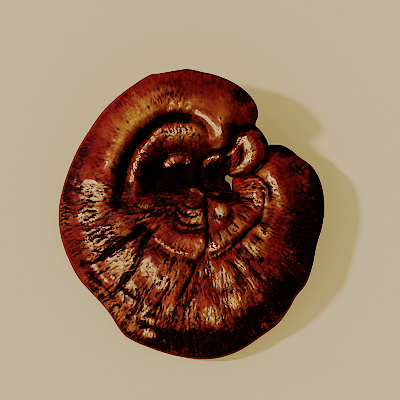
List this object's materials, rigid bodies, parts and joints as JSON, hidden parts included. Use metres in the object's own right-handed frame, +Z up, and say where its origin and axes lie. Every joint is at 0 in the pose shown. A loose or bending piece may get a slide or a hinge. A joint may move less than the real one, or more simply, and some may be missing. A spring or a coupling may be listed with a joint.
{
  "type": "reishi mushroom",
  "caption": "Lacquered bracket mushroom with a lobed, ringed and creased kidney-shaped cap, a small second cap growing in its notch, and a short stem cut off flat.",
  "frame": {"origin": "middle of the object's bounding box on the plane that the stem's cut and the low side of the margin rest on", "axes": "+Z up, +Y towards the raised upper lobe, +X towards the lobe right of the notch, as the picture shows it from straight above"},
  "size_m": [0.128, 0.1396, 0.0312],
  "materials": {
    "cap": "glossy lacquered red-brown crust with ochre bands and a dark purple-brown margin, cream pores below",
    "small_cap": "glossy lacquered dark red-brown crust",
    "stem": "dark lacquered bark with a pale fibrous cut face"
  },
  "bodies": {
    "root": {"cap": "cap", "small_cap": "small_cap", "stem": "stem"}
  },
  "joints": []
}
